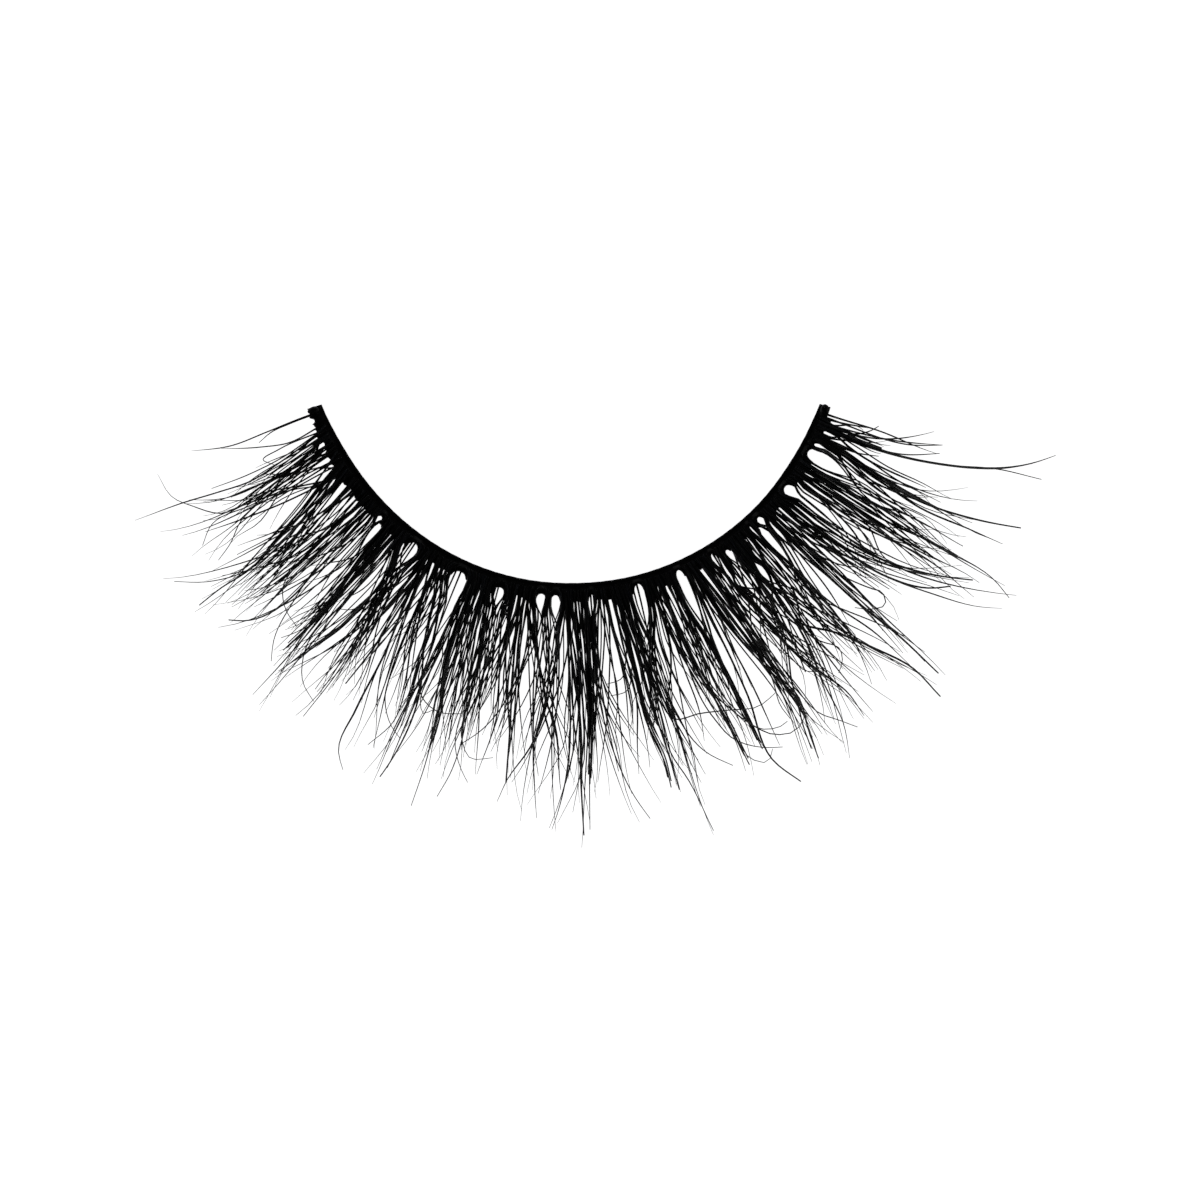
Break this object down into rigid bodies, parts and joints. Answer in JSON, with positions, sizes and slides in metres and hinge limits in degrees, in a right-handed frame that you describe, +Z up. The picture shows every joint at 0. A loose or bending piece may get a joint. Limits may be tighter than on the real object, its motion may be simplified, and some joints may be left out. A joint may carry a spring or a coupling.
{
  "type": "false eyelash strip",
  "caption": "Thin curved band that follows the eyelid, with a fringe of criss-crossed, upward curled lash locks that lengthen towards the outer corner.",
  "frame": {"origin": "middle of the band's underside, the face that is glued to the eyelid", "axes": "+X along the eye towards the outer corner, where the lashes are longest; +Y from the lash tips towards the brow; +Z up, the way the lashes curl"},
  "size_m": [0.0476, 0.0224, 0.0087],
  "materials": {
    "band_cotton": "black twisted cotton thread stiffened with glue",
    "lash_hair": "satin black tapered synthetic hair"
  },
  "bodies": {
    "root": {"band": "band_cotton", "lash_fringe": "lash_hair"}
  },
  "joints": []
}
